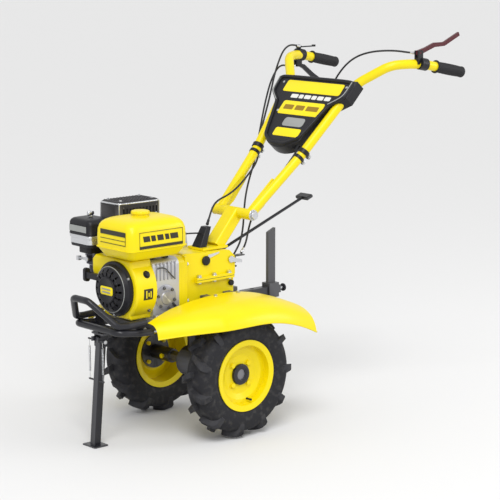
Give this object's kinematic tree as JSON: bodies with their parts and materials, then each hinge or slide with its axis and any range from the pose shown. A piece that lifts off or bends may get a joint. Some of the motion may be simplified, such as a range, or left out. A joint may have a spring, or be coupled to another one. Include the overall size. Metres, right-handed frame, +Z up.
{
  "type": "two-wheel motor cultivator",
  "caption": "Walk-behind petrol cultivator with lugged wheels, gearbox, fenders, front bumper, stand, depth bar and adjustable handlebar.",
  "frame": {"origin": "on the ground, in the middle of the machine's length and width", "axes": "+X forward, +Y to the machine's left, +Z up; the wheels turn about +Y"},
  "size_m": [1.4232, 0.6576, 1.269],
  "materials": {
    "yellow_paint": "gloss paint",
    "black_paint": "satin paint",
    "cast_alloy": "cast",
    "steel": "zinc plated",
    "dark_steel": "oiled",
    "tyre_rubber": "matte",
    "black_plastic": "satin",
    "grip_rubber": "ribbed",
    "hot_steel": "heat resistant paint",
    "red_plastic": "moulded",
    "cable_black": "sheath"
  },
  "bodies": {
    "frame": {"engine_bed": "black_paint", "front_bumper": "black_paint", "stand_bracket": "black_paint", "crankcase": "cast_alloy", "cylinder_head": "cast_alloy", "rocker_cover": "steel", "spark_plug": "black_plastic", "fan_shroud": "yellow_paint", "recoil_housing": "black_plastic", "fuel_tank": "yellow_paint", "air_cleaner": "black_plastic", "air_cleaner_knob": "steel", "carburettor": "cast_alloy", "muffler": "hot_steel", "muffler_guard": "hot_steel", "clutch_bell": "yellow_paint", "gearbox_case": "yellow_paint", "gearbox_cover": "yellow_paint", "lower_case": "black_paint", "bearings": "steel", "fenders": "yellow_paint", "brackets": "black_paint", "hitch_bar": "black_paint", "column": "yellow_paint", "cable_box": "black_plastic", "fasteners": "steel"},
    "wheels": {"axle_shaft": "dark_steel", "final_gear": "dark_steel", "wheel_hubs": "black_paint", "rims": "yellow_paint", "tyre_left": "tyre_rubber", "tyre_right": "tyre_rubber", "wheel_bolts": "steel"},
    "upright_shaft": {"drive_shaft": "dark_steel"},
    "lay": {"layshaft": "dark_steel"},
    "clutch_shaft": {"input_shaft": "dark_steel", "clutch_disc": "dark_steel"},
    "selector": {"shift_fork": "dark_steel"},
    "slider": {"sliding_gear": "dark_steel"},
    "gear_lever": {"shift_rod": "black_paint"},
    "crank": {"crankshaft": "dark_steel", "flywheel": "cast_alloy"},
    "recoil_drum": {"starter_pulley": "black_plastic"},
    "pull_grip": {"starter_grip": "black_plastic"},
    "cap": {"tank_cap": "yellow_paint"},
    "choke": {"choke_lever": "steel"},
    "tap": {"fuel_tap": "steel"},
    "switch": {"engine_switch": "black_plastic"},
    "release_arm": {"clutch_arm": "steel"},
    "stand": {"stand_leg": "black_paint", "stand_springs": "steel"},
    "depth_stake": {"depth_bar": "black_paint"},
    "handlebar": {"handlebar_tubes": "yellow_paint", "console": "black_plastic", "grips": "grip_rubber", "lever_clamps": "black_plastic", "control_cables": "cable_black"},
    "left_lever": {"clutch_lever": "red_plastic"},
    "right_lever": {"reverse_lever": "black_plastic"},
    "throttle": {"throttle_lever": "black_plastic"}
  },
  "joints": [
    {"name": "axle_spin", "type": "hinge", "parent": "frame", "child": "wheels", "pos_m": [0.2346, 0, 0.205], "axis": [0, 1, 0], "continuous": true},
    {"name": "drive_shaft_spin", "type": "hinge", "parent": "frame", "child": "upright_shaft", "pos_m": [0.2346, 0, 0.33], "axis": [0, 0, 1], "continuous": true},
    {"name": "layshaft_spin", "type": "hinge", "parent": "frame", "child": "lay", "pos_m": [0.3046, 0, 0.437], "axis": [1, 0, 0], "continuous": true},
    {"name": "crank_spin", "type": "hinge", "parent": "frame", "child": "crank", "pos_m": [0.4346, 0, 0.497], "axis": [1, 0, 0], "continuous": true},
    {"name": "clutch_shaft_spin", "type": "hinge", "parent": "frame", "child": "clutch_shaft", "pos_m": [0.3046, 0, 0.497], "axis": [1, 0, 0], "continuous": true},
    {"name": "selector_slide", "type": "slide", "parent": "frame", "child": "selector", "axis": [1, 0, 0], "range_m": [-0.0065, 0.0065]},
    {"name": "sliding_gear_spin", "type": "hinge", "parent": "selector", "child": "slider", "pos_m": [0.3046, 0, 0.497], "axis": [1, 0, 0], "continuous": true},
    {"name": "gear_shift", "type": "slide", "parent": "frame", "child": "gear_lever", "axis": [-0.9368, 0, 0.35], "range_m": [-0.0065, 0.0065]},
    {"name": "starter_pull", "type": "slide", "parent": "frame", "child": "pull_grip", "axis": [0, -1, 0], "range_m": [0, 0.6], "stiffness_N_per_m": 8, "springref_m": -0.4},
    {"name": "recoil_drum_spin", "type": "hinge", "parent": "frame", "child": "recoil_drum", "pos_m": [0.5806, 0, 0.497], "axis": [1, 0, 0], "range_deg": [-5, 870]},
    {"name": "tank_cap_turn", "type": "hinge", "parent": "frame", "child": "cap", "pos_m": [0.4846, 0.03, 0.733], "axis": [0, 0, 1], "range_deg": [0, 90]},
    {"name": "choke_turn", "type": "hinge", "parent": "frame", "child": "choke", "pos_m": [0.5586, -0.157, 0.57], "axis": [1, 0, 0], "range_deg": [0, 50]},
    {"name": "fuel_tap_turn", "type": "hinge", "parent": "frame", "child": "tap", "pos_m": [0.5246, -0.18, 0.535], "axis": [0, 1, 0], "range_deg": [0, 90]},
    {"name": "switch_press", "type": "slide", "parent": "frame", "child": "switch", "axis": [0, -0.8704, -0.4924], "range_m": [0, 0.001]},
    {"name": "clutch_squeeze", "type": "hinge", "parent": "handlebar", "child": "left_lever", "pos_m": [-0.5004, 0.3, 1.207], "axis": [0, 1, 0], "range_deg": [-20, 0], "stiffness_Nm_per_rad": 4, "springref_deg": 14.32},
    {"name": "clutch_arm_turn", "type": "hinge", "parent": "frame", "child": "release_arm", "pos_m": [0.1346, 0.064, 0.548], "axis": [0, 1, 0], "range_deg": [-1, 9]},
    {"name": "reverse_squeeze", "type": "hinge", "parent": "handlebar", "child": "right_lever", "pos_m": [-0.5074, -0.3, 1.134], "axis": [0, 1, 0], "range_deg": [0, 16], "stiffness_Nm_per_rad": 4, "springref_deg": -14.32},
    {"name": "throttle_turn", "type": "hinge", "parent": "handlebar", "child": "throttle", "pos_m": [-0.5114, -0.3, 1.196], "axis": [0, 0, 1], "range_deg": [-60, 0]},
    {"name": "stand_fold", "type": "hinge", "parent": "frame", "child": "stand", "pos_m": [0.6246, 0, 0.336], "axis": [0, 1, 0], "range_deg": [0, 75], "deforming": ["stand_springs"]},
    {"name": "depth_bar_slide", "type": "slide", "parent": "frame", "child": "depth_stake", "axis": [0, 0, -1], "range_m": [0, 0.16]},
    {"name": "handlebar_height", "type": "hinge", "parent": "frame", "child": "handlebar", "pos_m": [0.0626, 0, 0.69], "axis": [0, 1, 0], "range_deg": [-18, 6], "deforming": ["control_cables"]}
  ],
  "couplings": [
    {"joint": "drive_shaft_spin", "follows": "axle_spin", "ratio": -3.2},
    {"joint": "layshaft_spin", "follows": "axle_spin", "ratio": -6.4},
    {"joint": "clutch_shaft_spin", "follows": "crank_spin", "ratio": 1},
    {"joint": "sliding_gear_spin", "follows": "crank_spin", "ratio": 1},
    {"joint": "selector_slide", "follows": "gear_shift", "ratio": -1},
    {"joint": "recoil_drum_spin", "follows": "starter_pull", "rad_per_m": 25},
    {"joint": "clutch_arm_turn", "follows": "clutch_squeeze", "ratio": -0.4}
  ]
}
